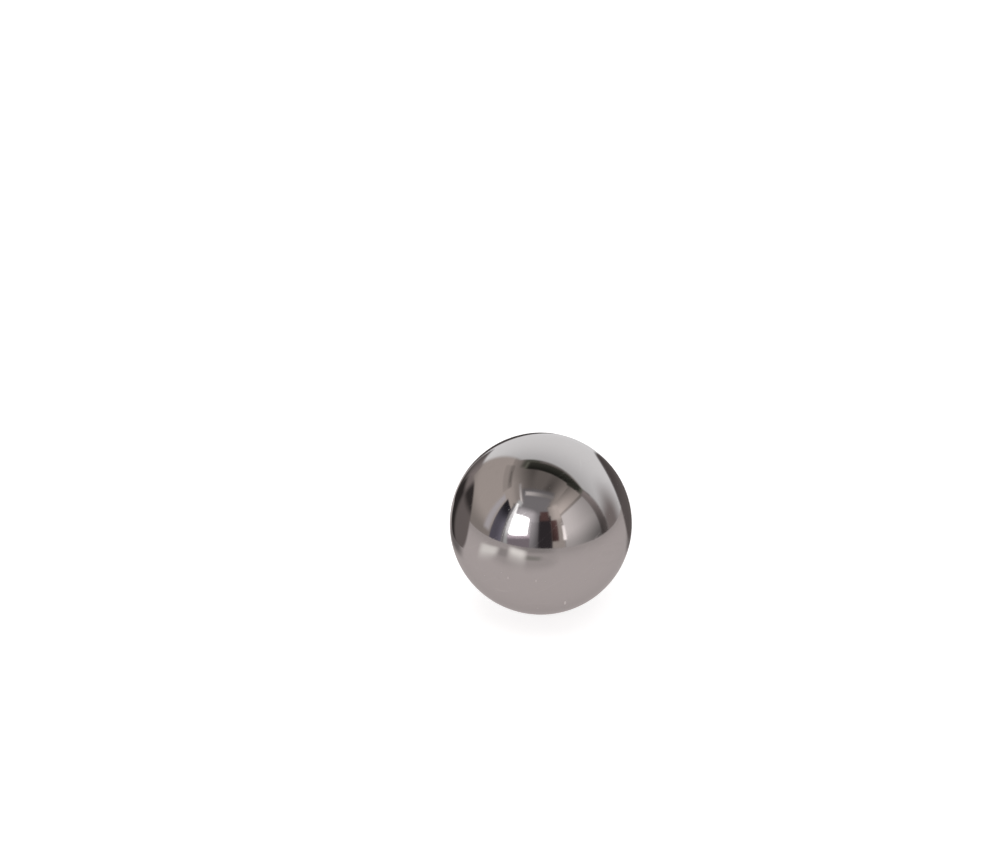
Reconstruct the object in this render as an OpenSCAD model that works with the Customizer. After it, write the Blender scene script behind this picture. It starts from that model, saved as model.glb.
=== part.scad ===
// Polished steel ball for small bench and desk jobs: bearings, races, runs and mazes.
// The ball is one solid piece of hardened steel. It is headed from wire, ground and lapped
// until it is a true sphere all over, so it has no seam, flat, hole or marking, and no
// core or plating. Its origin is the centre of the sphere, and +Z points up.
// All sizes are in millimetres.

/* [Ball] */
// Diameter of the ball
ball_d = 20; // [1:0.5:100]

/* [Hidden] */
// Colour of bright lapped steel
polished_steel = [0.76, 0.75, 0.74];

// Steps round the equator of the sphere
$fn = 120;

// Ball: the lapped sphere, solid right through
module ball() {
    color(polished_steel) sphere(d = ball_d);
}

ball();
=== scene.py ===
"""Dresses the steel ball over its CAD frame and sets it in a plain, soft studio.

Laid out as an add-on: the settings, one operator for the ball and one for the stage, and a panel
that lists both. Everything is in metres, in the frame of the CAD part, with +Z up and the ball's
centre at the origin. Bearings are in degrees: 0 is towards the camera, and 90 is +X.
"""

from math import atan2, cos, degrees, radians, sin, tan

import bmesh
import bpy
from mathutils import Matrix, Vector


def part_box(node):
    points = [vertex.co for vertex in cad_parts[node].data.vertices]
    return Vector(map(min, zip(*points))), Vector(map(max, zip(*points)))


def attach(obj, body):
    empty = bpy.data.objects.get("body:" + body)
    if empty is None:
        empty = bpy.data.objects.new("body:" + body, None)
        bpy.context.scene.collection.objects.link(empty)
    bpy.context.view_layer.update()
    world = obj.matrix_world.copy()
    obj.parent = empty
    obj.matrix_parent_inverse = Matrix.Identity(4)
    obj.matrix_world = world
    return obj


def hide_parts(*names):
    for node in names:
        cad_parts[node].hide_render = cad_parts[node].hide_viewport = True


bl_info = {
    "name": "Polished Steel Ball",
    "version": (1, 0, 0),
    "blender": (4, 5, 0),
    "location": "View3D > Sidebar > Steel Ball",
    "description": "Makes a lapped steel ball over its CAD frame, and a plain studio for it to mirror",
    "category": "Add Mesh",
}

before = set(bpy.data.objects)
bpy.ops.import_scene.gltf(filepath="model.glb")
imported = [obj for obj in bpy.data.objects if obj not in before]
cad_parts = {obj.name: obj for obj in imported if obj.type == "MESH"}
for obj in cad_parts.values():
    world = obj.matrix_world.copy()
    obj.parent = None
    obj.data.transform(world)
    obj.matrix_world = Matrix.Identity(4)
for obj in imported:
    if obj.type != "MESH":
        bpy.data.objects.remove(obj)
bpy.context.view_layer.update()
ball_low, ball_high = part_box("ball")
BALL_DIAMETER = round(ball_high.z - ball_low.z, 5)
FLOOR_HEIGHT = ball_low.z
MM = 0.001
WHITE = (1.0, 1.0, 1.0)

# Marks on the steel. A mark's range gives the two heights of its noise where it starts to show
# and where it is full. Sizes are in millimetres, and scales are waves or cells to a millimetre.
HAZE_SCALE = 0.16
HAZE_RANGE = (0.45, 0.70)
GRAIN_SCALE = 3.0
# How the wipe marks are turned, the length, width and depth of their waves, and the range of haze
# that they keep to.
WIPE_TURN = (0.5, 0.3, 0.9)
WIPE_SIZE = (8.0, 0.6, 0.6)
WIPE_RANGE = (0.52, 0.72)
WIPE_HAZE_RANGE = (0.40, 0.60)
# How each lay of hairlines is turned. Each is a stack of nearly flat cuts through the ball: the
# waves that make the cuts and their patches are measured across the stack and then along it. A
# cut runs where its waves are at mid height, and fades out over the range given. The cuts stop at
# this share of the radius from the middle, and fade over the share before it.
HAIRLINE_TURNS = ((0.2, 0.9, 0.4), (1.1, 0.1, 2.0), (2.3, 1.4, 0.7), (0.7, 2.2, 2.6))
HAIRLINE_SIZE = (1.6, 60.0, 60.0)
HAIRLINE_RANGE = (0.003, 0.010)
HAIRLINE_PATCH_SIZE = (0.5, 5.0, 5.0)
HAIRLINE_PATCH_RANGE = (0.60, 0.70)
HAIRLINE_REACH = 0.7
HAIRLINE_FADE = 0.1
# The specks' cells, how far from a cell's point its speck fades out, and the range of chance that
# leaves most cells without one.
SPECK_SCALE = 1.2
SPECK_RANGE = (0.03, 0.08)
SPECK_CHANCE_RANGE = (0.60, 0.65)
# Where each scuff lies as seen from the centre, its half width and half length, and how much of
# it shows. It fades out over that range of the squared distance from its middle, where 1 is at
# its half width or half length.
SCUFFS = (
    ((0.284, -0.796, -0.535), 0.12, 0.45, 1.0),
    ((-0.346, -0.924, -0.164), 0.10, 0.20, 0.3),
    ((-0.041, -0.987, -0.156), 0.10, 0.20, 0.3),
)
SCUFF_RANGE = (0.3, 1.3)
# What each mark adds to the roughness where it is full.
HAZE_ROUGHNESS = 0.015
WIPE_ROUGHNESS = 0.03
GRAIN_ROUGHNESS = 0.01
HAIRLINE_ROUGHNESS = 0.10
SPECK_ROUGHNESS = 0.30
SCUFF_ROUGHNESS = 0.25
# How far a wipe mark and a speck dull the steel to that share of its colour, and how far a
# hairline turns it to the paler scuff colour, which is a painted glint.
WIPE_DULLING = 0.15
SPECK_DULLING = 0.2
DULLED = 0.85
HAIRLINE_PALING = 0.10
# How bright the mirror is near a grazing angle, where 1 is as bare metal.
GRAZING_TINT = 0.82


# Shader nodes -------------------------------------------------------------------------------


class Value:
    """A socket in a node tree. Arithmetic on it adds Math nodes to that tree."""

    def __init__(self, tree, socket):
        self.tree = tree
        self.socket = socket

    def math(self, operation, *terms):
        """A Math node of that operation on the terms."""
        return self.tree.node("ShaderNodeMath", {"operation": operation}, dict(enumerate(terms)))

    def __add__(self, other):
        return self.math("ADD", self, other)

    __radd__ = __add__

    def __sub__(self, other):
        return self.math("SUBTRACT", self, other)

    def __rsub__(self, other):
        return self.math("SUBTRACT", other, self)

    def __mul__(self, other):
        return self.math("MULTIPLY", self, other)

    __rmul__ = __mul__

    def __truediv__(self, other):
        return self.math("DIVIDE", self, other)

    def __pow__(self, other):
        return self.math("POWER", self, other)

    def __abs__(self):
        return self.math("ABSOLUTE", self)

    def at_least(self, other):
        """The greater of the two."""
        return self.math("MAXIMUM", self, other)

    def at_most(self, other):
        """The lesser of the two."""
        return self.math("MINIMUM", self, other)

    def rise(self, start, end):
        """0 up to start, 1 from end on, and a smooth step between them."""
        settings = {"interpolation_type": "SMOOTHSTEP"}
        sockets = {"Value": self, "From Min": start, "From Max": end}
        return self.tree.node("ShaderNodeMapRange", settings, sockets)

    def fall(self, start, end):
        """1 up to start, 0 from end on, and a smooth step between them."""
        return 1 - self.rise(start, end)


class Tree:
    """A node tree that is being filled."""

    def __init__(self, owner):
        owner.use_nodes = True
        self.nodes = owner.node_tree.nodes
        self.links = owner.node_tree.links
        self.nodes.clear()

    def node(self, kind, settings=None, sockets=None, output=None):
        """Adds a node: its settings first, then the values or links of its sockets."""
        made = self.nodes.new(kind)
        for name, setting in (settings or {}).items():
            setattr(made, name, setting)
        for name, value in (sockets or {}).items():
            socket = made.inputs[name] if isinstance(name, int) else self.live(made.inputs, name)
            if isinstance(value, Value):
                self.links.new(value.socket, socket)
            else:
                socket.default_value = value
        return Value(self, self.live(made.outputs, output)) if made.outputs else made

    @staticmethod
    def live(sockets, name):
        """The socket of that name that the settings leave in use, or else the first such one."""
        return next(s for s in sockets if s.enabled and name in (None, s.name))

    def noise(self, place, scale, detail):
        """Soft noise between 0 and 1, with about scale waves to each unit of place."""
        sockets = {"Vector": place, "Scale": scale, "Detail": detail}
        return self.node("ShaderNodeTexNoise", {}, sockets)

    def mix(self, factor, first, second):
        """The first colour where factor is 0, the second where it is 1."""
        sockets = {"Factor": factor, "A": first, "B": second}
        return self.node("ShaderNodeMix", {"data_type": "RGBA"}, sockets)

    def blend(self, factor, first, second):
        """The first shader where factor is 0, the second where it is 1."""
        return self.node("ShaderNodeMixShader", {}, {0: factor, 1: first, 2: second})

    def vector(self, operation, *terms, output=None):
        """A Vector Math node of that operation on the terms."""
        settings = {"operation": operation}
        return self.node("ShaderNodeVectorMath", settings, dict(enumerate(terms)), output)

    def split(self, vector):
        """The numbers of a vector, one by one."""
        first = self.node("ShaderNodeSeparateXYZ", {}, {"Vector": vector})
        return [Value(self, part) for part in first.socket.node.outputs]


def rgba(colour, level=1.0):
    """A colour as a shader socket takes it."""
    return (*(channel * level for channel in colour), 1.0)


# Pieces -------------------------------------------------------------------------------------


def add_object(name, mesh_maker, material):
    """Puts a new object of that name in the scene."""
    mesh = bpy.data.meshes.new(name)
    bm = bmesh.new()
    mesh_maker(bm)
    bm.to_mesh(mesh)
    bm.free()
    mesh.materials.append(material)
    made = bpy.data.objects.new(name, mesh)
    bpy.context.scene.collection.objects.link(made)
    return made


def drawn_out(tree, place, turn, size):
    """The place, turned and then measured in waves of that length, width and depth."""
    sockets = {"Vector": place, "Rotation": turn, "Scale": size}
    return tree.node("ShaderNodeMapping", {"vector_type": "TEXTURE"}, sockets)


def hairlines(tree, place, turn, radius):
    """Fine straight scratches of one lay, in patches. place and radius are in millimetres."""
    waves = tree.noise(drawn_out(tree, place, turn, HAIRLINE_SIZE), scale=1.0, detail=0.0)
    patches = tree.noise(drawn_out(tree, place, turn, HAIRLINE_PATCH_SIZE), scale=1.0, detail=0.0)
    across, _, _ = tree.split(drawn_out(tree, place, turn, (radius, radius, radius)))
    cuts = abs(waves - 0.5).fall(*HAIRLINE_RANGE) * patches.rise(*HAIRLINE_PATCH_RANGE)
    return cuts * abs(across).fall(HAIRLINE_REACH - HAIRLINE_FADE, HAIRLINE_REACH)


def specks(tree, place):
    """Fine specks of dust, a tenth of a millimetre across, in some cells of a scatter."""
    scatter = {"Vector": place, "Scale": SPECK_SCALE}
    nearness = tree.node("ShaderNodeTexVoronoi", {}, scatter, output="Distance")
    chance, _, _ = tree.split(tree.node("ShaderNodeTexVoronoi", {}, scatter, output="Color"))
    return nearness.fall(*SPECK_RANGE) * chance.rise(*SPECK_CHANCE_RANGE)


def scuffs(tree, place, radius):
    """Worn touches on the lower front, paled as a painted glint. place and radius are in millimetres.
    """
    total = 0
    for direction, half_width, half_length, strength in SCUFFS:
        outwards = Vector(direction).normalized()
        along = outwards.cross(Vector((1, 0, 0))).normalized()
        offset = tree.vector("SUBTRACT", place, outwards * radius)
        sideways = tree.vector("DOT_PRODUCT", offset, outwards.cross(along), output="Value")
        lengthways = tree.vector("DOT_PRODUCT", offset, along, output="Value")
        outside = (sideways / half_width) ** 2 + (lengthways / half_length) ** 2
        facing = tree.vector("DOT_PRODUCT", place, outwards, output="Value").rise(0, 1)
        total = total + outside.fall(*SCUFF_RANGE) * facing * strength
    return total


def lapped_steel(settings):
    """Bright lapped steel: a mirror with a trace of haze, wipe marks, hairlines, specks and scuffs."""
    material = bpy.data.materials.new("polished_steel")
    tree = Tree(material)
    place = tree.node("ShaderNodeTexCoord", output="Object")
    place = tree.vector("MULTIPLY", place, (1 / MM, 1 / MM, 1 / MM))

    haze = tree.noise(place, scale=HAZE_SCALE, detail=3.0)
    grain = tree.noise(place, scale=GRAIN_SCALE, detail=2.0) - 0.5
    swept = drawn_out(tree, place, WIPE_TURN, WIPE_SIZE)
    wipe = tree.noise(swept, scale=1.0, detail=4.0).rise(*WIPE_RANGE) * haze.rise(*WIPE_HAZE_RANGE)
    radius = settings.diameter / 2 / MM
    scratch = 0
    for turn in HAIRLINE_TURNS:
        scratch = hairlines(tree, place, turn, radius).at_least(scratch)
    speck = specks(tree, place)
    scuff = scuffs(tree, place, radius)

    roughness = settings.roughness + HAZE_ROUGHNESS * haze.rise(*HAZE_RANGE)
    roughness = roughness + WIPE_ROUGHNESS * wipe + GRAIN_ROUGHNESS * grain
    roughness = roughness + HAIRLINE_ROUGHNESS * scratch + SPECK_ROUGHNESS * speck
    roughness = roughness + SCUFF_ROUGHNESS * scuff
    dulling = WIPE_DULLING * wipe + SPECK_DULLING * speck
    colour = tree.mix(dulling, rgba(settings.steel), rgba(settings.steel, DULLED))
    # Hairlines and scuffs are paled towards the scuff colour: a painted glint.
    colour = tree.mix(HAIRLINE_PALING * scratch + scuff, colour, rgba(settings.scuff_and_glint))

    shader = tree.node(
        "ShaderNodeBsdfPrincipled",
        {},
        {
            "Base Color": colour,
            "Metallic": 1.0,
            "Roughness": roughness,
            "Specular Tint": rgba(WHITE, GRAZING_TINT),
        },
    )
    tree.node("ShaderNodeOutputMaterial", {}, {"Surface": shader})
    return material


class BallSettings(bpy.types.PropertyGroup):
    """What a user may change on the ball."""

    diameter: bpy.props.FloatProperty(
        name="Diameter",
        description="Diameter of the finished ball",
        default=BALL_DIAMETER,
        min=MM,
        subtype="DISTANCE",
        unit="LENGTH",
        precision=4,
    )
    rounds: bpy.props.IntProperty(
        name="Rounds",
        description="How often the faces of an icosahedron are divided to make the sphere",
        default=7,
        min=4,
        max=7,
    )
    steel: bpy.props.FloatVectorProperty(
        name="Steel",
        description="What a clean part of the ball reflects head on",
        default=(0.60, 0.585, 0.58),
        min=0.0,
        max=1.0,
        subtype="COLOR",
    )
    # The paler colour that hairlines and scuffs take, a painted glint.
    scuff_and_glint: bpy.props.FloatVectorProperty(
        name="Scuffed Steel",
        description="What a scuffed place reflects",
        default=(0.90, 0.89, 0.88),
        min=0.0,
        max=1.0,
        subtype="COLOR",
    )
    roughness: bpy.props.FloatProperty(
        name="Roughness",
        description="Roughness of a clean part of the ball",
        default=0.065,
        min=0.0,
        max=1.0,
        subtype="FACTOR",
    )


class OBJECT_OT_lapped_ball(bpy.types.Operator):
    """Make the lapped steel ball in place of its plain CAD solid"""

    bl_idname = "object.lapped_ball"
    bl_label = "Lapped Ball"

    def execute(self, context):
        settings = context.scene.steel_ball

        def sphere(bm):
            radius = settings.diameter / 2
            bmesh.ops.create_icosphere(bm, subdivisions=settings.rounds, radius=radius)
            for face in bm.faces:
                face.smooth = True

        ball = add_object("lapped_ball", sphere, lapped_steel(settings))
        radial = [vertex.co.normalized() for vertex in ball.data.vertices]
        ball.data.normals_split_custom_set_from_vertices(radial)
        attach(ball, "root")
        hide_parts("ball")
        return {"FINISHED"}


# Stage --------------------------------------------------------------------------------------

# Tints of the cards, the bench and the light that fills the room.
NEUTRAL = (1.0, 0.99, 1.0)
PINKISH = (1.0, 0.93, 0.92)
WARM = (1.0, 0.88, 0.82)
SHADED = (1.0, 0.86, 0.84)
COOL = (1.0, 0.94, 0.98)
BLUISH = (0.85, 0.79, 1.0)
OLIVE = (1.0, 0.99, 0.82)
CREAM = (1.0, 0.96, 0.925)
DUSKY = (1.0, 0.94, 0.87)
INK = (1.0, 0.85, 0.95)
RUST = (1.0, 0.57, 0.54)
BENCH = (1.0, 0.90, 0.885)

# Heights of the foot of many cards and of the ceiling.
CARD_FOOT = -0.20
CEILING = 1.65
# The strip light under the ceiling: its ends and width, and how far it hangs below its glow. The
# glow is longer by that factor, has its own width, and its middle lies a little to one side.
STRIP_START = Vector((-0.74, -0.12, CEILING - 0.01))
STRIP_END = Vector((-0.89, -1.12, CEILING - 0.01))
STRIP_WIDTH = 0.15
STRIP_DROP = 0.005
STRIP_GLOW_LENGTH = 1.2
STRIP_GLOW_WIDTH = 0.52
STRIP_GLOW_SHIFT = 0.09
# The wide lamp and how far it hangs below the ceiling.
FILL_WIDTH = 1.6
FILL_DROP = 0.05
# The oval bench that the ball mirrors, and the share of its size over which its edge fades.
BENCH_MIDDLE = (-0.010, -0.14, 0)
BENCH_HALF_WIDTH = 0.162
BENCH_HALF_LENGTH = 0.24
BENCH_EDGE = 0.05
# Painted shade on the bench: it darkens outwards, between those distances, to that share of its level.
BENCH_PAINTED_SHADE_FALL = (
    (0.015, 0.11, 0.80),
    (0.11, 0.40, 0.64),
)
# The pale part behind the ball: its bearing, the half angles where it is full and gone, the
# distances over which it sets in, and its level.
BACK_LIGHT_BEARING = 172
BACK_LIGHT_ANGLES = (10, 30)
BACK_LIGHT_NEAR = (0.008, 0.02)
BACK_LIGHT_LEVEL = 0.92
# Patches of light and shade on the bench: the bearing of each, the half angles where it is full and
# gone, the bearing along which it is measured, the distances over which it sets in and fades out
# along that, and its tint and level.
BENCH_PATCHES = (
    (-4, 6, 26, 0, (0.045, 0.125), (0.60, 0.70), BENCH, 0.30),
    (-22, 28, 48, -22, (0.020, 0.032), (0.050, 0.100), BENCH, 0.46),
    (-43, 2, 9, -43, (0.034, 0.046), (0.062, 0.090), BENCH, 0.34),
    (-9, 4, 13, -9, (0.039, 0.047), (0.052, 0.070), DUSKY, 0.28),
    (-59.2, 4, 14, -98, (0.017, 0.032), (0.038, 0.057), CREAM, 0.98),
    (-26, 3, 13, 10, (0.015, 0.058), (0.058, 0.140), CREAM, 1.14),
    # Painted shade under the left and right edge flags.
    (-116, 4, 25, -112, (0.0145, 0.0190), (0.026, 0.045), SHADED, 0.16),
    (134, 3, 22, 134, (0.0140, 0.0190), (0.021, 0.033), SHADED, 0.16),
)


# The floor paper and how it glows. The camera sees a share of the glow with the lit paper round
# it, so that the two come to white and the ball's shade is kept. Mirrors see more of the glow.
PAPER = 0.85
PAPER_GLOW = 2.1
GLOW_TO_CAMERA = 0.35
GLOW_TO_MIRRORS = 0.9
FLOOR_SEGMENTS = 128
# The level of the even light from the world, and the width of the camera's sensor in millimetres.
WORLD_LEVEL = 0.4
SENSOR_WIDTH = 36


def outward(bearing):
    """Level direction of a bearing."""
    return Vector((sin(radians(bearing)), -cos(radians(bearing)), 0))


def card_material(name, size, tint, levels, fade_across, fade_up, corner, soft):
    """A glowing card, with a level for each corner that eases into the next.

    levels are those of the start and end of the bottom edge, then of the top edge. They change over
    the shares of the width and height in fade_across and fade_up. The card's corners have the
    radius corner, and its edges fade away over the width soft.
    """
    material = bpy.data.materials.new(name)
    tree = Tree(material)
    across, up, _ = tree.split(tree.node("ShaderNodeTexCoord", output="UV"))
    edges = [
        tree.mix(across.rise(*fade_across), rgba(tint, start), rgba(tint, end))
        for start, end in levels
    ]
    tone = tree.mix(up.rise(*fade_up), *edges)
    glow = tree.node("ShaderNodeEmission", {}, {"Color": tone})
    past_side = abs(across - 0.5) * size[0] - (size[0] / 2 - corner)
    past_top = abs(up - 0.5) * size[1] - (size[1] / 2 - corner)
    past_corner = (past_side.at_least(0) ** 2 + past_top.at_least(0) ** 2) ** 0.5
    past_edge = past_corner + past_side.at_least(past_top).at_most(0) - corner
    clear = tree.node("ShaderNodeBsdfTransparent")
    shader = tree.blend(past_edge.rise(-soft, 0), glow, clear)
    tree.node("ShaderNodeOutputMaterial", {}, {"Surface": shader})
    return material


def card(
    name, middle, across, up, tint, levels,
    fade_across=(0, 1), fade_up=(0, 1), corner=0.0, soft=0.02, lights=True,
):
    """A flat studio card with its middle there, and edges as long as across and up.

    The camera doesn't see it. One that lights nothing shows in mirrors alone.
    """
    if isinstance(levels, float):
        levels = ((levels, levels), (levels, levels))
    size = (across.length, up.length)
    place = Matrix.Identity(4)
    place.col[0] = (*across, 0)
    place.col[1] = (*up, 0)
    place.col[2] = (*across.cross(up).normalized(), 0)
    place.col[3] = (*middle, 1)

    def quad(bm):
        bm.loops.layers.uv.new("card")
        bmesh.ops.create_grid(bm, x_segments=1, y_segments=1, size=0.5, calc_uvs=True)
        bmesh.ops.transform(bm, matrix=place, verts=bm.verts)

    look = card_material(name, size, tint, levels, fade_across, fade_up, corner, soft)
    made = add_object(name, quad, look)
    made.visible_camera = False
    made.visible_diffuse = lights
    made.visible_shadow = lights


def upright(name, facing, distance, start, end, bottom, top, tilt=0, **look):
    """A card square to the bearing facing, from one bearing to another, as the ball sees it.

    tilt turns it in its own plane, so that its end rises.
    """
    along = outward(facing + 90)
    ends = [distance * tan(radians(bearing - facing)) for bearing in (start, end)]
    middle = outward(facing) * distance + along * sum(ends) / 2
    middle.z = (bottom + top) / 2
    across = along * (ends[1] - ends[0])
    up = Vector((0, 0, top - bottom))
    turn = Matrix.Rotation(radians(tilt), 3, along.cross(up))
    card(name, middle, turn @ across, turn @ up, **look)


def overhead(name, facing, height, near, far, left, right, **look):
    """A level card above the ball, from near to far along the bearing facing."""
    out, along = outward(facing), outward(facing + 90)
    middle = out * (near + far) / 2 + along * (left + right) / 2
    middle.z = height
    card(name, middle, along * (right - left), out * (far - near), **look)


def back_cards():
    """The backdrop with its shaded end, the dark rail over it, the post and painted shade at its foot.
    """
    upright(
        "backdrop", facing=157, distance=0.50, start=91, end=215, bottom=-0.40, top=1.22,
        tint=NEUTRAL, levels=((0.76, 1.02), (0.62, 0.66)),
        fade_across=(0, 0.62), fade_up=(0.15, 0.95), soft=0.18,
    )
    upright(
        "backdrop_shade", facing=157, distance=0.49, start=87, end=140, bottom=-0.80, top=0.52,
        tint=SHADED, levels=0.25, corner=0.5, soft=0.45,
    )
    overhead(
        "rail_shade", facing=157, height=1.27, near=0.15, far=0.80, left=0.20, right=0.74,
        tint=OLIVE, levels=0.10, corner=0.15, soft=0.16,
    )
    overhead(
        "backdrop_rail", facing=160, height=1.24, near=0.175, far=0.476, left=-1.20, right=0.53,
        tint=OLIVE, levels=((0.016, 0.20), (0.048, 0.20)), fade_across=(0.93, 1), soft=0.035,
    )
    upright(
        "backdrop_post", facing=88, distance=0.55, start=79.5, end=92.5, bottom=CARD_FOOT, top=0.66,
        tint=SHADED, levels=((0.07, 0.11), (0.24, 0.33)), fade_up=(0.2, 0.7), soft=0.03,
    )
    # Painted shade at the foot of the post.
    upright(
        "post_foot_shade", facing=88, distance=0.545, start=84.5, end=95, bottom=CARD_FOOT, top=0.105,
        tint=SHADED, levels=0.12, corner=0.05, soft=0.055,
    )
    upright(
        "post_head", facing=88, distance=0.54, start=79.5, end=95, bottom=0.49, top=1.06,
        tint=OLIVE, levels=((0.15, 0.15), (0.04, 0.04)), fade_up=(0.05, 0.25), corner=0.05, soft=0.05,
    )


def left_cards():
    """A pale wall on the left, with a trim at its top and a dark screen in a pale frame."""
    upright(
        "left_wall", facing=-102, distance=1.15, start=-172, end=-40, bottom=-0.50, top=1.95,
        tint=WARM, levels=((0.30, 0.32), (0.50, 0.52)), fade_up=(0.20, 0.36), soft=0.40,
    )
    upright(
        "left_wall_shade", facing=-107, distance=1.06, start=-136, end=-80, bottom=1.08, top=1.80,
        tint=WARM, levels=((0.42, 0.42), (0.275, 0.285)), fade_up=(0.36, 0.56), corner=0.10, soft=0.12,
    )
    upright(
        "left_wall_trim", facing=-107, distance=1.05, start=-122, end=-92, bottom=1.46, top=1.58,
        tint=WARM, levels=0.18, corner=0.06, soft=0.055,
    )
    upright(
        "screen_frame", facing=-102, distance=1.12, start=-80, end=-66, bottom=0.0, top=1.30,
        tint=COOL, levels=0.57, corner=0.1, soft=0.14,
    )
    upright(
        "dark_screen", facing=-102, distance=1.11, start=-67, end=-47.5, bottom=CARD_FOOT, top=1.37,
        tint=BLUISH, levels=((0.14, 0.28), (0.028, 0.06)),
        fade_across=(0.3, 1), fade_up=(0.42, 0.82), soft=0.05,
    )


def right_cards():
    """A pale panel on the right, with a rail along its top, a wall over it and a slim light."""
    upright(
        "right_panel", facing=68, distance=0.955, start=31, end=88, bottom=CARD_FOOT, top=0.95,
        tint=PINKISH, levels=((0.50, 0.13), (0.85, 0.43)), fade_across=(0.05, 1),
        fade_up=(0.12, 0.50),
    )
    upright(
        "right_rail", facing=68, distance=0.94, start=26, end=90, bottom=0.835, top=0.965,
        tint=WARM, levels=((0.46, 0.19), (0.46, 0.19)), soft=0.055,
    )
    upright(
        "right_wall", facing=68, distance=0.95, start=25, end=88, bottom=0.90, top=1.95,
        tint=WARM, levels=((0.80, 0.38), (0.40, 0.20)), fade_up=(0.10, 0.8), soft=0.08,
    )
    upright(
        "slim_light", facing=30, distance=0.90, start=27.6, end=33.8, bottom=0.09, top=0.43,
        tint=PINKISH, levels=((1.6, 1.6), (1.3, 1.3)), corner=0.03, soft=0.035,
    )


def front_cards(settings):
    """The softbox and the cards round it, on the camera's side."""
    upright(
        "front_wall", facing=-12, distance=1.40, start=-52, end=30, bottom=CARD_FOOT, top=CEILING,
        tint=COOL, levels=0.245, soft=0.10,
    )
    upright(
        "front_return", facing=22, distance=1.25, start=9, end=33, bottom=-0.40, top=1.55,
        tint=WARM, levels=0.44, soft=0.12,
    )
    upright(
        "return_glow", facing=27, distance=1.20, start=12, end=43, bottom=0.62, top=1.62,
        tint=WARM, levels=0.68, corner=0.28, soft=0.28,
    )
    upright(
        "softbox_halo", facing=-27, distance=1.15, start=-48, end=-2, bottom=-0.15, top=1.28,
        tint=COOL, levels=0.72, corner=0.3, soft=0.37,
    )
    upright(
        "side_glow", facing=-45, distance=1.13, start=-50, end=-35, bottom=1.08, top=1.46,
        tint=NEUTRAL, levels=0.62, corner=0.05, soft=0.10,
    )
    upright(
        "softbox_side", facing=-45, distance=1.12, start=-47.9, end=-40.5, bottom=CARD_FOOT, top=1.20,
        tint=NEUTRAL, levels=((0.48, 0.48), (1.0, 1.0)), fade_up=(0.17, 0.36), soft=0.05,
    )
    upright(
        "side_head", facing=-45, distance=1.11, start=-46.6, end=-39.6, bottom=0.68, top=1.22,
        tilt=8, tint=NEUTRAL, levels=1.7, corner=0.05, soft=0.06,
    )
    upright(
        "softbox", facing=-30, distance=1.10, start=-43.2, end=-16.7, bottom=0.163, top=0.805,
        tint=NEUTRAL, levels=settings.softbox, corner=0.09, soft=0.04,
    )
    upright(
        "bench_edge", facing=-26, distance=1.05, start=-40.5, end=-8, bottom=-0.40, top=0.238, tilt=13,
        tint=INK, levels=((0.255, 0.255), (0.75, 0.75)), fade_up=(0.80, 0.96), soft=0.03,
    )
    upright(
        "softbox_shade", facing=-8, distance=1.04, start=-15, end=1, bottom=CARD_FOOT, top=0.635,
        tint=COOL, levels=((0.27, 0.07), (0.50, 0.09)), soft=0.035,
    )
    upright(
        "camera_flag", facing=4, distance=1.00, start=-4.6, end=16.2, bottom=CARD_FOOT, top=0.84,
        tint=INK, levels=0.040, corner=0.03, soft=0.055,
    )
    upright(
        "rust_band", facing=6, distance=0.99, start=-4.5, end=14.5, bottom=0.60, top=1.01,
        tint=RUST, levels=0.12, corner=0.05, soft=0.09,
    )
    upright(
        "rust_flag", facing=17, distance=0.98, start=12.6, end=24.4, bottom=0.09, top=0.66,
        tint=RUST, levels=((0.045, 0.12), (0.10, 0.17)), corner=0.05, soft=0.05,
    )


def ceiling_cards():
    """The ceiling, paler towards the walls, a band across it and a strip light with its glow."""
    overhead(
        "ceiling", facing=0, height=CEILING + 0.03, near=-2.5, far=2.5, left=-2.5, right=2.5,
        tint=WARM, levels=0.18,
    )
    overhead(
        "ceiling_left", facing=-102, height=CEILING + 0.02, near=0.10, far=1.70, left=-1.8, right=1.45,
        tint=WARM, levels=((0.11, 0.17), (0.38, 0.50)), fade_across=(0.4, 0.75),
        fade_up=(0.1, 0.7), soft=0.25,
    )
    overhead(
        "ceiling_right", facing=68, height=CEILING + 0.02, near=0.15, far=1.50, left=-1.2, right=0.9,
        tint=WARM, levels=((0.10, 0.15), (0.46, 0.30)), fade_across=(0.3, 0.8),
        fade_up=(0.15, 0.7), soft=0.25,
    )
    overhead(
        "ceiling_front", facing=-12, height=CEILING + 0.01, near=0.42, far=1.70, left=-0.8, right=0.7,
        tint=COOL, levels=((0.17, 0.17), (0.25, 0.25)), fade_up=(0.0, 0.5), soft=0.22,
    )
    overhead(
        "ceiling_band", facing=-12, height=CEILING, near=0.60, far=0.87, left=-0.52, right=0.68,
        tint=PINKISH, levels=((0.66, 0.28), (0.66, 0.28)), fade_across=(0.1, 0.7), soft=0.10,
    )
    along = STRIP_END - STRIP_START
    sideways = along.cross(Vector((0, 0, 1))).normalized()
    middle = (STRIP_START + STRIP_END) / 2
    card(
        "strip_glow", middle + sideways * STRIP_GLOW_SHIFT, along * STRIP_GLOW_LENGTH,
        sideways * STRIP_GLOW_WIDTH, tint=WARM, levels=0.36, corner=0.25, soft=0.30,
    )
    card(
        "strip_light", middle - Vector((0, 0, STRIP_DROP)), along, sideways * STRIP_WIDTH,
        tint=PINKISH, levels=((0.42, 0.95), (0.42, 0.95)), soft=0.06,
    )


def round_flag(name, bearing, distance, radius, middle, **look):
    """A dark round flag close to the ball, with its middle at that height.

    It shows in mirrors alone.
    """
    spread = degrees(atan2(radius, distance))
    upright(
        name, facing=bearing, distance=distance, start=bearing - spread, end=bearing + spread,
        bottom=middle - radius, top=middle + radius, tint=SHADED, corner=radius, soft=0.0015,
        lights=False, **look,
    )


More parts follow.
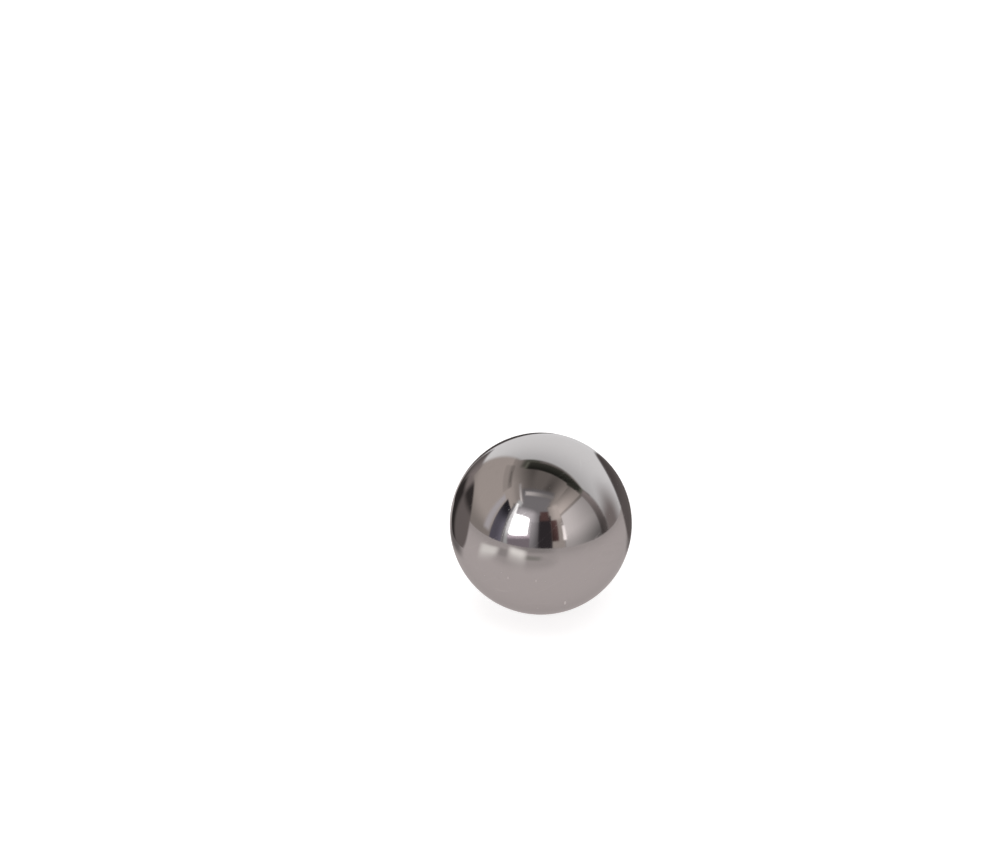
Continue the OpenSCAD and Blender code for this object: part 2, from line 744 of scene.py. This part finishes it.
def edge_flags():
    """Flags close beside and behind the ball, for dark crescents along the rim of the mirror."""
    upright(
        "edge_shade", facing=-141, distance=0.036, start=-152, end=-122, bottom=-0.020, top=0.0125,
        tilt=22, tint=SHADED, levels=((0.05, 0.07), (0.14, 0.32)), fade_up=(0.50, 0.74),
        corner=0.004, soft=0.003, lights=False,
    )
    round_flag(
        "edge_flag_left", bearing=-108.7, distance=0.022, radius=0.0110, middle=-0.0012,
        levels=((0.04, 0.19), (0.27, 0.045)), fade_across=(0.32, 0.52), fade_up=(0.65, 0.81),
    )
    round_flag(
        "edge_flag_back", bearing=-166.9, distance=0.022, radius=0.0080, middle=0,
        levels=((0.15, 0.13), (0.07, 0.10)), fade_up=(0.40, 0.80),
    )
    round_flag(
        "edge_flag_right", bearing=131.4, distance=0.020, radius=0.0100, middle=-0.0003,
        levels=((0.15, 0.18), (0.11, 0.11)), fade_up=(0.50, 0.85),
    )


def bench_tone(tree, settings):
    """The bench as the ball mirrors it, by its place.

    It darkens outwards in painted shade. Behind the ball it is paler, in painted light. In front,
    two soft pools of painted light lie on it with painted shade round them. Painted shade also
    darkens it under two of the edge flags.
    """
    level = settings.floor_mirrored
    place = tree.node("ShaderNodeTexCoord", output="Object")
    place = tree.vector("MULTIPLY", place, (1, 1, 0))
    away = tree.vector("LENGTH", place, output="Value")

    def reach(bearing):
        """How far out the place lies along a bearing."""
        return tree.vector("DOT_PRODUCT", place, outward(bearing), output="Value")

    def sector(bearing, inner, outer):
        """1 within the angle inner of a bearing, in degrees, and 0 from the angle outer on."""
        return (reach(bearing) / away).rise(cos(radians(outer)), cos(radians(inner)))

    tone = rgba(BENCH, level)
    # Painted shade, darker outwards.
    for start, end, share in BENCH_PAINTED_SHADE_FALL:
        tone = tree.mix(away.rise(start, end), tone, rgba(BENCH, level * share))
    # Painted light on the pale part behind the ball.
    back = sector(BACK_LIGHT_BEARING, *BACK_LIGHT_ANGLES) * away.rise(*BACK_LIGHT_NEAR)
    tone = tree.mix(back, tone, rgba(NEUTRAL, BACK_LIGHT_LEVEL))
    # Painted pools of light and painted shade, also under two of the edge flags.
    for bearing, inner, outer, facing, near, far, tint, part in BENCH_PATCHES:
        patch = sector(bearing, inner, outer) * reach(facing).rise(*near) * reach(facing).fall(*far)
        tone = tree.mix(patch, tone, rgba(tint, part))
    return tone


def past_bench(tree):
    """0 on the oval bench that the ball mirrors, and 1 beyond it."""
    place = tree.node("ShaderNodeTexCoord", output="Object")
    place = tree.vector("SUBTRACT", place, BENCH_MIDDLE)
    place = tree.vector("DIVIDE", place, (BENCH_HALF_WIDTH, BENCH_HALF_LENGTH, 1))
    place = tree.vector("MULTIPLY", place, (1, 1, 0))
    return tree.vector("LENGTH", place, output="Value").rise(1, 1 + BENCH_EDGE)


def floor_material(settings):
    """Pale paper that glows a little, so that it keeps its tone and the ball's shade.

    The camera sees white paper without an end, and mirrors see an oval bench of it.
    """
    material = bpy.data.materials.new("floor_paper")
    tree = Tree(material)
    rays = tree.node("ShaderNodeLightPath").socket.node.outputs
    camera, glossy, through = (
        Value(tree, rays[name])
        for name in ("Is Camera Ray", "Is Glossy Ray", "Is Transmission Ray")
    )
    tone = tree.mix(camera, bench_tone(tree, settings), rgba(WHITE, PAPER_GLOW))
    glow = tree.node("ShaderNodeEmission", {}, {"Color": tone})
    paper = tree.node("ShaderNodeBsdfDiffuse", {}, {"Color": rgba(WHITE, PAPER)})
    share = camera * GLOW_TO_CAMERA + glossy.at_least(through) * GLOW_TO_MIRRORS
    shader = tree.blend(share, paper, glow)
    clear = tree.node("ShaderNodeBsdfTransparent")
    shader = tree.blend(past_bench(tree) * glossy, shader, clear)
    tree.node("ShaderNodeOutputMaterial", {}, {"Surface": shader})
    return material


def add_floor(settings):
    """A round floor that the ball rests on."""

    def disc(bm):
        radius = settings.floor_radius
        bmesh.ops.create_circle(bm, cap_ends=True, segments=FLOOR_SEGMENTS, radius=radius)
        bmesh.ops.translate(bm, vec=(0, 0, FLOOR_HEIGHT), verts=bm.verts)

    floor = add_object("floor", disc, floor_material(settings))


def add_fill_lamp(scene, settings):
    """A wide lamp under the ceiling. Mirrors don't show it, and it lights to a plain level."""
    data = bpy.data.lights.new("fill_lamp", "AREA")
    data.size = FILL_WIDTH
    data.energy = settings.fill
    lamp = bpy.data.objects.new("fill_lamp", data)
    lamp.location = (0, 0, CEILING - FILL_DROP)
    lamp.visible_camera = False
    lamp.visible_glossy = False
    scene.collection.objects.link(lamp)


def set_world(scene):
    """White behind everything for the camera, and an even fill for the light."""
    scene.world = bpy.data.worlds.new("studio_world")
    tree = Tree(scene.world)
    camera = tree.node("ShaderNodeLightPath", output="Is Camera Ray")
    tone = tree.mix(camera, rgba(PINKISH, WORLD_LEVEL), rgba(WHITE))
    shader = tree.node("ShaderNodeBackground", {}, {"Color": tone})
    tree.node("ShaderNodeOutputWorld", {}, {"Surface": shader})


def add_camera(scene, settings):
    """A long lens on the ball, a little above it, tipped down and rolled slightly."""
    data = bpy.data.cameras.new("camera")
    data.lens = settings.lens
    data.sensor_width = SENSOR_WIDTH
    camera = bpy.data.objects.new("camera", data)
    aim = Matrix.Rotation(radians(90) - settings.camera_tilt, 4, "X")
    roll = Matrix.Rotation(settings.camera_roll, 4, "Z")
    camera.matrix_world = Matrix.Translation(settings.camera_place) @ aim @ roll
    scene.collection.objects.link(camera)
    scene.camera = camera


class StageSettings(bpy.types.PropertyGroup):
    """What a user may change on the stage."""

    softbox: bpy.props.FloatProperty(
        name="Softbox", description="Strength of the softbox", default=4.0, min=0.0
    )
    fill: bpy.props.FloatProperty(
        name="Fill",
        description="Power of the wide lamp that lights the floor",
        default=15.0,
        min=0.0,
        unit="POWER",
    )
    floor_mirrored: bpy.props.FloatProperty(
        name="Mirrored Floor",
        description="Level of the floor as the ball mirrors it",
        default=0.585,
        min=0.0,
        max=1.0,
    )
    floor_radius: bpy.props.FloatProperty(
        name="Floor Radius",
        description="Radius of the floor",
        default=4.0,
        min=0.1,
        subtype="DISTANCE",
        unit="LENGTH",
    )
    lens: bpy.props.FloatProperty(
        name="Lens",
        description="Focal length of the camera, on a 36 mm sensor",
        default=234.0,
        min=1.0,
        unit="CAMERA",
    )
    camera_place: bpy.props.FloatVectorProperty(
        name="Camera Place",
        description="Where the camera stands",
        default=(-0.00473, -0.6201, 0.3527),
        subtype="TRANSLATION",
        unit="LENGTH",
    )
    camera_tilt: bpy.props.FloatProperty(
        name="Camera Tilt",
        description="How far the camera looks down from level",
        default=radians(28.85),
        subtype="ANGLE",
        unit="ROTATION",
    )
    camera_roll: bpy.props.FloatProperty(
        name="Camera Roll",
        description="How far the camera leans to its left",
        default=radians(1.47),
        subtype="ANGLE",
        unit="ROTATION",
    )


class SCENE_OT_ball_stage(bpy.types.Operator):
    """Set up the floor, the cards that the ball mirrors, the world and the camera"""

    bl_idname = "scene.ball_stage"
    bl_label = "Ball Stage"

    def execute(self, context):
        scene = context.scene
        settings = scene.ball_stage
        add_floor(settings)
        back_cards()
        left_cards()
        right_cards()
        front_cards(settings)
        ceiling_cards()
        edge_flags()
        add_fill_lamp(scene, settings)
        set_world(scene)
        add_camera(scene, settings)
        scene.view_settings.view_transform = "Standard"
        return {"FINISHED"}


class VIEW3D_PT_steel_ball(bpy.types.Panel):
    """Lists what makes the ball and its stage"""

    bl_label = "Steel Ball"
    bl_space_type = "VIEW_3D"
    bl_region_type = "UI"
    bl_category = "Steel Ball"

    def draw(self, context):
        groups = (
            (OBJECT_OT_lapped_ball, context.scene.steel_ball),
            (SCENE_OT_ball_stage, context.scene.ball_stage),
        )
        for operator, settings in groups:
            box = self.layout.box()
            box.operator(operator.bl_idname)
            for name in settings.__annotations__:
                box.prop(settings, name)


CLASSES = (
    BallSettings,
    StageSettings,
    OBJECT_OT_lapped_ball,
    SCENE_OT_ball_stage,
    VIEW3D_PT_steel_ball,
)


def register():
    """Adds the classes, and the settings to each scene."""
    for cls in CLASSES:
        bpy.utils.register_class(cls)
    bpy.types.Scene.steel_ball = bpy.props.PointerProperty(type=BallSettings)
    bpy.types.Scene.ball_stage = bpy.props.PointerProperty(type=StageSettings)


def unregister():
    """Takes away what register added."""
    del bpy.types.Scene.ball_stage
    del bpy.types.Scene.steel_ball
    for cls in reversed(CLASSES):
        bpy.utils.unregister_class(cls)


def main():
    """Makes the ball and its stage."""
    register()
    bpy.ops.object.lapped_ball()
    bpy.ops.scene.ball_stage()


if __name__ == "__main__":
    main()
